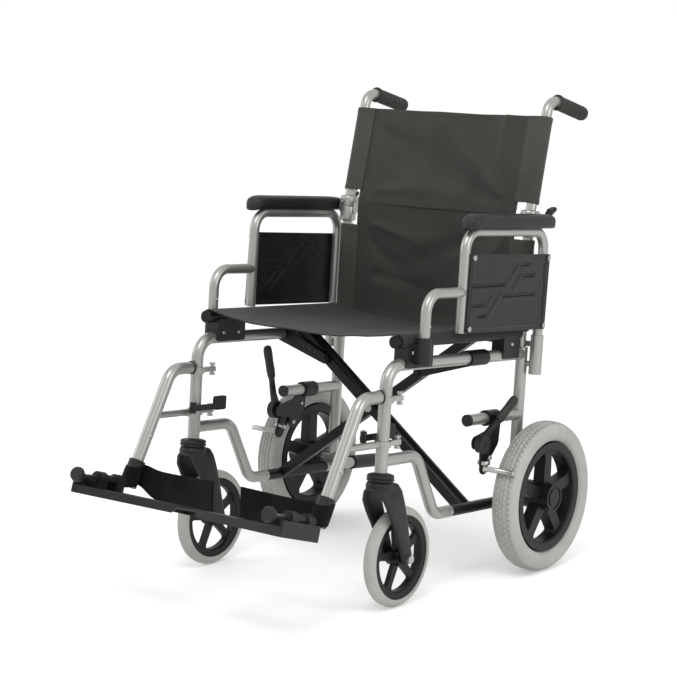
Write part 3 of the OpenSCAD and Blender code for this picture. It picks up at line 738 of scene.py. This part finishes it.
# ---------- castor forks ----------
def leg(g, side_x):
    """One blade of a fork as a tapering oval sweep from the crown to the axle."""
    half_thick = 0.0063
    # Distance outward from the stem, u, v and half width
    path = [(0.0080, -0.2300, 0.2385, 0.0255), (0.0190, -0.2290, 0.2320, 0.0285),
            (0.0262, -0.2230, 0.2160, 0.0285), (0.0280, -0.2110, 0.1920, 0.0255),
            (0.0270, -0.1950, 0.1610, 0.0215), (0.0248, -0.1790, 0.1270, 0.0180),
            (0.0238, -0.1690, 0.1050, 0.0160), (0.0234, -0.1620, 0.0879, 0.0150),
            (0.0234, -0.1590, 0.0780, 0.0100)]
    verts = []
    cols = 28
    for k, (dx, u, v, wide) in enumerate(path):
        p0 = path[max(0, k - 1)]
        p1 = path[min(len(path) - 1, k + 1)]
        d = Vector((p1[1] - p0[1], p1[2] - p0[2])).normalized()
        for j in range(cols):
            a = 2 * math.pi * j / cols
            across = oval(math.cos(a), 0.7) * wide
            thick = oval(math.sin(a), 0.6) * half_thick
            verts.append(at(g * RAIL_X + side_x * (dx + thick),
                            u - d.y * across, v + d.x * across))
    return verts, capped_faces(len(path), cols)


def forks():
    """Crown and two blades grown together, and the caps of the bearings above them."""
    # Both as (radius, height)
    crown = [(0.014, 0.2250), (0.022, 0.2258), (0.0268, 0.2290), (0.0282, 0.2340),
             (0.0274, 0.2395), (0.0250, 0.2435), (0.0235, 0.2447)]
    caps = [(0.0200, 0.2440), (0.0246, 0.2442), (0.0246, 0.2462), (0.0270, 0.2466),
            (0.0274, 0.2482), (0.0270, 0.2498), (0.0248, 0.2502), (0.0248, 0.2516),
            (0.0266, 0.2520), (0.0268, 0.2545), (0.0258, 0.2572), (0.0200, 0.2590),
            (0.0140, 0.2596), (0.0130, 0.2597)]
    for side, g in SIDES:

        def place(x, y, h):
            return at(g * RAIL_X + x, FRONT_U + y, h)

        verts, faces = lathe(crown, place)
        for side_x in (1, -1):
            extend(verts, faces, *leg(g, side_x))
        ob = add(side + "_fork", verts, faces, "black_plastic", side + "_castor")
        blend = ob.modifiers.new("blend", "REMESH")
        blend.mode = "VOXEL"
        blend.voxel_size = 0.0016
        blend.use_smooth_shade = True
        soft = ob.modifiers.new("soft", "SMOOTH")
        soft.factor = 0.5
        soft.iterations = 9
        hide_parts(side + "_castor_fork")
        verts, faces = lathe(caps, place)
        cap = add(side + "_bearing_cap", verts, faces, "black_plastic", side + "_castor")


# ---------- screws, bolts and rivets ----------
def screw(centre, out, r, tall, verts, faces):
    """Domed head with a socket in it, which faces out, added to the lists."""
    profile = [(r, -0.0006), (r, tall * 0.25), (r * 0.92, tall * 0.62), (r * 0.70, tall * 0.92),
               (r * 0.48, tall), (r * 0.42, tall * 0.94), (r * 0.40, tall * 0.35)]
    side = out.orthogonal().normalized()
    up = out.cross(side)
    extend(verts, faces,
           *lathe(profile, lambda x, y, h: centre + side * x + up * y + out * h, 20))


def screws():
    """Bolt heads of each body in one piece."""
    x_axis = Vector((1, 0, 0))
    for side, g in SIDES:
        # Each head's place (x, u, v), the way it faces (1 is outboard), radius and height
        groups = {
            "frame": [((RAIL_X + 0.0160, -0.125, 0.492), 1, 0.0040, 0.0024),
                      ((RAIL_X + 0.0160, -0.172, 0.492), 1, 0.0040, 0.0024),
                      ((RAIL_X + 0.0150, 0.180, 0.492), 1, 0.0040, 0.0024),
                      ((RAIL_X - 0.0160, -0.125, 0.480), -1, 0.0040, 0.0024),
                      ((RAIL_X - 0.0160, -0.172, 0.480), -1, 0.0040, 0.0024),
                      ((RAIL_X + 0.0120, 0.003, 0.1585), 1, 0.0036, 0.0022),
                      ((RAIL_X - 0.0120, 0.003, 0.1585), -1, 0.0036, 0.0022),
                      ((RAIL_X + 0.0120, 0.222, 0.1585), 1, 0.0036, 0.0022),
                      ((RAIL_X - 0.0120, 0.222, 0.1585), -1, 0.0036, 0.0022),
                      ((RAIL_X + 0.0133, 0.138, 0.306), -1, 0.0045, 0.0026),
                      ((RAIL_X + 0.0133, 0.112, 0.266), -1, 0.0050, 0.0030)],
            "footrest": [((RAIL_X + 0.0122, -0.3732, 0.278), 1, 0.0048, 0.0028),
                         ((RAIL_X - 0.0122, -0.3732, 0.278), -1, 0.0048, 0.0028),
                         ((RAIL_X + 0.0165, -0.4060, 0.212), 1, 0.0040, 0.0022),
                         ((RAIL_X - 0.0165, -0.4060, 0.212), -1, 0.0040, 0.0022)],
            "armrest": [((ARM_X + 0.0102, -0.157, 0.545), 1, 0.0036, 0.0020),
                        ((ARM_X - 0.0102, -0.157, 0.545), -1, 0.0036, 0.0020)],
        }
        for body, rows in groups.items():
            verts, faces = [], []
            for (x, u, v), way, r, tall in rows:
                screw(at(g * x, u, v), x_axis * g * way, r, tall, verts, faces)
            ob = add(side + "_" + body + "_screws", verts, faces, "steel", side + "_" + body)


# ---------- hinges of the back ----------
def stadium(x0, x1, p, r0, q, r1, verts, faces, steps=14):
    """Plate between two x positions whose outline wraps the two circles, added to the lists."""
    d = math.atan2(q[1] - p[1], q[0] - p[0])
    ring = []
    for c, r, turn in ((p, r0, d + math.pi / 2), (q, r1, d - math.pi / 2)):
        for k in range(steps + 1):
            a = turn + math.pi * k / steps
            ring.append((c[0] + r * math.cos(a), c[1] + r * math.sin(a)))
    n = len(ring)
    start = len(verts)
    for x in (x0, x1):
        verts += [at(x, u, v) for u, v in ring]
    faces += [(start + k, start + (k + 1) % n, start + n + (k + 1) % n, start + n + k)
              for k in range(n)]
    faces.append(tuple(start + k for k in reversed(range(n))))
    faces.append(tuple(start + n + k for k in range(n)))


def disc_stack(x_sign, rows, centre, verts, faces, steps=32):
    """Turned part along x: rows of (x, radius) round the point centre, added to the lists."""
    ring = [around(x_sign * x, centre, 2 * math.pi * k / steps, r)
            for x, r in rows for k in range(steps)]
    extend(verts, faces, ring, capped_faces(len(rows), steps))


def barrel(g, section, reach, verts, faces, steps=48):
    """Wall round the cane, from -reach to reach degrees off its rear, added to the lists."""
    wall = []
    for k in range(steps + 1):
        a = math.radians(-reach + 2 * reach * k / steps)
        for r, v in section:
            wall.append(at(g * (CANE_X + r * math.sin(a)), REAR_U - r * math.cos(a), v))
    extend(verts, faces, wall, capped_faces(steps + 1, len(section)))


def back_hinges():
    """Collar on the lower cane with ears, pin heads and lug, and the shell over the joint."""
    collar = [(0.0113, 0.7120), (0.0150, 0.7123), (0.0168, 0.7140), (0.0176, 0.7172),
              (0.0178, 0.7430), (0.0174, 0.7442), (0.0156, 0.7442), (0.0156, 0.7300),
              (0.0113, 0.7280)]
    shell = [(0.0172, 0.7448), (0.0177, 0.7460), (0.0177, 0.7640), (0.0170, 0.7668),
             (0.0140, 0.7690), (0.0112, 0.7694), (0.0112, 0.7448)]
    lug = (0.272, 0.748)
    ear_edges = (0.0179, 0.0199, 0.0216, 0.0220)
    for side, g in SIDES:
        verts, faces = [], []
        barrel(g, collar, 179.0, verts, faces, 72)
        for way in (1, -1):
            edge = [CANE_X + way * q for q in ear_edges]
            stadium(g * edge[0], g * edge[1], (0.2450, 0.7360), 0.0085, HINGE, 0.0078,
                    verts, faces)
            disc_stack(g, [(edge[1], 0.0056), (edge[2], 0.0056), (edge[3], 0.0046)], HINGE,
                       verts, faces)
        stadium(g * (CANE_X + 0.0150), g * (CANE_X + 0.0180), (0.2530, 0.7395), 0.0078,
                lug, 0.0062, verts, faces)
        disc_stack(g, [(CANE_X + 0.0155, 0.0027), (CANE_X + 0.0268, 0.0027)], lug,
                   verts, faces)
        ob = add(side + "_back_collar", verts, faces, "silver_paint", side + "_frame")
        bevelled(ob, 0.0006)
        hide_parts(side + "_back_hinge")
        verts, faces = [], []
        barrel(g, shell, 88, verts, faces)
        out = at(0, REAR_U - 1, 0) - at(0, REAR_U, 0)
        screw(at(g * (CANE_X + 0.006), REAR_U - 0.0164, 0.7545), out.normalized(), 0.0034,
              0.0018, verts, faces)
        ob = add(side + "_back_shell", verts, faces, "silver_paint", side + "_upper_back")


# ---------- side panels ----------
# Corners (u, v), slots as (u from, u to, v) and raised bars as (u, v, u, v)
PANEL = ((-0.038, 0.527), (0.253, 0.524), (0.257, 0.680), (-0.034, 0.684))
SLOTS = ((-0.030, 0.090, 0.6205), (0.086, 0.206, 0.5985), (0.147, 0.184, 0.6600),
         (0.154, 0.200, 0.6375), (-0.023, 0.016, 0.5812), (-0.002, 0.026, 0.5593))
BARS = ((0.096, 0.6175, 0.140, 0.6600), (0.122, 0.6100, 0.150, 0.6380),
        (0.080, 0.6020, 0.036, 0.5590), (0.050, 0.5985, 0.026, 0.5755))


def relief(u, v):
    """Height of the pressed pattern over the panel's flat border."""
    rear_top = ((0.6700 - v) * 0.042 + (0.1740 - u) * 0.033) / 0.0534
    inset = min(u + 0.0300, 0.2300 - u, v - 0.5330, 0.6760 - v, rear_top)
    h = 0.0009 * smoothstep(0.0, 0.0022, inset)
    h += 0.0008 * math.exp(-((inset - 0.0035) / 0.0016) ** 2)
    for u0, v0, u1, v1 in BARS:
        du, dv = u1 - u0, v1 - v0
        t = min(1, max(0, ((u - u0) * du + (v - v0) * dv) / (du * du + dv * dv)))
        d = math.hypot(u - u0 - t * du, v - v0 - t * dv)
        h += 0.0015 * (1 - smoothstep(0.0030, 0.0052, d))
    for u0, u1, v0 in SLOTS:
        e = smoothstep(u0 - 0.001, u0 + 0.001, u) * (1 - smoothstep(u1 - 0.001, u1 + 0.001, u))
        top = 1 - smoothstep(v0 + 0.0028, v0 + 0.0038, v)
        low = smoothstep(v0 - 0.0050, v0 - 0.0012, v)
        h -= 0.0042 * e * top * low
        h += 0.0010 * e * math.exp(-((v - v0 + 0.0085) / 0.0015) ** 2)
    h -= 0.0030 * (smoothstep(0.2335, 0.2350, u) * (1 - smoothstep(0.2430, 0.2445, u))
                   * smoothstep(0.540, 0.545, v) * (1 - smoothstep(0.660, 0.665, v)))
    return h


def side_panels():
    """Clothes guards, fine enough for the pressed pattern to be in the mesh."""
    rows, cols = 176, 150
    outer_x, inner_x, follow = 0.2870, 0.2826, 0.9
    for side, g in SIDES:
        front, rear = [], []
        for i in range(rows):
            t = i / (rows - 1)
            a, b = [], []
            for j in range(cols):
                s = j / (cols - 1)
                low = [PANEL[0][k] * (1 - s) + PANEL[1][k] * s for k in (0, 1)]
                top = [PANEL[3][k] * (1 - s) + PANEL[2][k] * s for k in (0, 1)]
                u, v = (low[k] * (1 - t) + top[k] * t for k in (0, 1))
                h = relief(u, v)
                a.append(at(g * (outer_x + h), u, v))
                b.append(at(g * (inner_x + follow * max(0.0, h)), u, v))
            front.append(a)
            rear.append(b)
        verts, faces = sheet_between(rows, cols, front, rear)
        ob = add(side + "_pressed_panel", verts, faces, "black_plastic", side + "_armrest")
        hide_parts(side + "_side_panel")


# ---------- brakes ----------
BRAKE_ROOT = (0.0936, 0.2860)
BRAKE_PIVOT = (0.0680, 0.2950)
# Each brake's peg (u, v) and the angle of its handle: the left one is on, the right one off
BRAKE_STATES = {"left": ((0.0939, 0.2410), 35.2), "right": ((0.0730, 0.2460), 107.5)}


def brake_cover(side, g, peg):
    verts, faces = [], []
    stadium(g * 0.2602, g * 0.2654, BRAKE_ROOT, 0.0166, peg, 0.0126, verts, faces)
    ob = add(side + "_brake_cover", verts, faces, "black_metal", side + "_brake_bar")
    bevelled(ob, 0.0008)


def brake_peg(side, g, peg):
    """Peg that presses on the tyre, root nut, adjuster bolt and its collar."""
    length, adjuster_at, collar_x = 0.045, 0.021, 0.2632
    verts, faces = [], []
    disc_stack(g, [(0.2650, 0.0090), (0.2690, 0.0090), (0.2695, 0.0057), (0.3330, 0.0057),
                   (0.3352, 0.0052), (0.3363, 0.0034), (0.3366, 0.0014)], peg, verts, faces)
    disc_stack(g, [(0.2650, 0.0062), (0.2700, 0.0062), (0.2706, 0.0050)], BRAKE_ROOT,
               verts, faces)
    du, dv = ((peg[k] - BRAKE_ROOT[k]) / length for k in (0, 1))
    mid = (BRAKE_ROOT[0] + adjuster_at * du, BRAKE_ROOT[1] + adjuster_at * dv)
    disc_stack(g, [(0.2650, 0.0032), (0.2745, 0.0032), (0.2747, 0.0052), (0.2785, 0.0052),
                   (0.2795, 0.0040)], mid, verts, faces)

    def down(x, y, h):
        return at(g * (collar_x + x), BRAKE_ROOT[0] + h * du - y * dv,
                  BRAKE_ROOT[1] + h * dv + y * du)

    extend(verts, faces, *lathe([(0.0120, 0.0285), (0.0132, 0.0292), (0.0132, 0.0365),
                                 (0.0120, 0.0372)], down, 32))
    ob = add(side + "_brake_peg", verts, faces, "steel", side + "_brake_bar")


def brake_grip(side, g, turn):
    """Fluted oval grip, turned about the handle's pivot."""
    grip_x, flat, flutes, flute_depth, fluted_from = 0.2690, 0.8, 8, 0.0004, 0.0095
    c, d = math.cos(math.radians(turn)), math.sin(math.radians(turn))
    # Distance from the pivot and radius
    rows = [(0.074, 0.0060), (0.076, 0.0088), (0.082, 0.0102), (0.095, 0.0108), (0.112, 0.0104),
            (0.128, 0.0110), (0.140, 0.0108), (0.146, 0.0090), (0.1490, 0.0056),
            (0.1500, 0.0020)]
    steps = 40
    verts = []
    for along, r in rows:
        for k in range(steps):
            a = 2 * math.pi * k / steps
            groove = 0.5 + 0.5 * math.cos(flutes * a) if r > fluted_from else 0
            radius = r - flute_depth * groove
            across = radius * math.sin(a)
            verts.append(at(g * (grip_x + flat * radius * math.cos(a)),
                            BRAKE_PIVOT[0] + along * c - across * d,
                            BRAKE_PIVOT[1] + along * d + across * c))
    ob = add(side + "_brake_grip", verts, capped_faces(len(rows), steps), "grip_rubber",
             side + "_brake_handle")


def brakes():
    """Carrier cover, steel peg, adjuster and hand grip of each brake."""
    for side, g in SIDES:
        peg, turn = BRAKE_STATES[side]
        brake_cover(side, g, peg)
        brake_peg(side, g, peg)
        brake_grip(side, g, turn)


# ---------- footrest pins ----------
def stop_pins():
    """Bright sleeve on the pin between the hinge tube and its knob."""
    c, d = math.cos(PLATE_TILT), math.sin(PLATE_TILT)
    rows = [(0.0036, 0.0), (0.0044, 0.0004), (0.0044, 0.0360), (0.0062, 0.0362),
            (0.0062, 0.0385)]
    for side, g in SIDES:

        def place(x, y, h):
            return at(g * RAIL_X + x, PLATE_HINGE[0] - h * c + y * d,
                      PLATE_HINGE[1] + h * d + y * c)

        verts, faces = lathe(rows, place, 28)
        ob = add(side + "_stop_pin", verts, faces, "steel", side + "_footrest")


# ---------- rings on the hangers ----------
def hanger_rings():
    """Black collar round the hanger's upper tube."""
    ring_u, ring_v = -0.2535, 0.409
    rows = [(0.0128, 0.0), (0.0138, 0.0008), (0.0140, 0.0025), (0.0138, 0.0042),
            (0.0128, 0.0050)]
    for side, g in SIDES:

        def place(x, y, h):
            return at(g * RAIL_X + x, ring_u + h, ring_v + y)

        verts, faces = lathe(rows, place)
        ob = add(side + "_hanger_ring", verts, faces, "black_plastic", side + "_footrest")


studio()
make_materials()
seat()
backs()
heel_loops()
arm_pads()
tyres()
forks()
screws()
back_hinges()
side_panels()
brakes()
hanger_rings()
stop_pins()
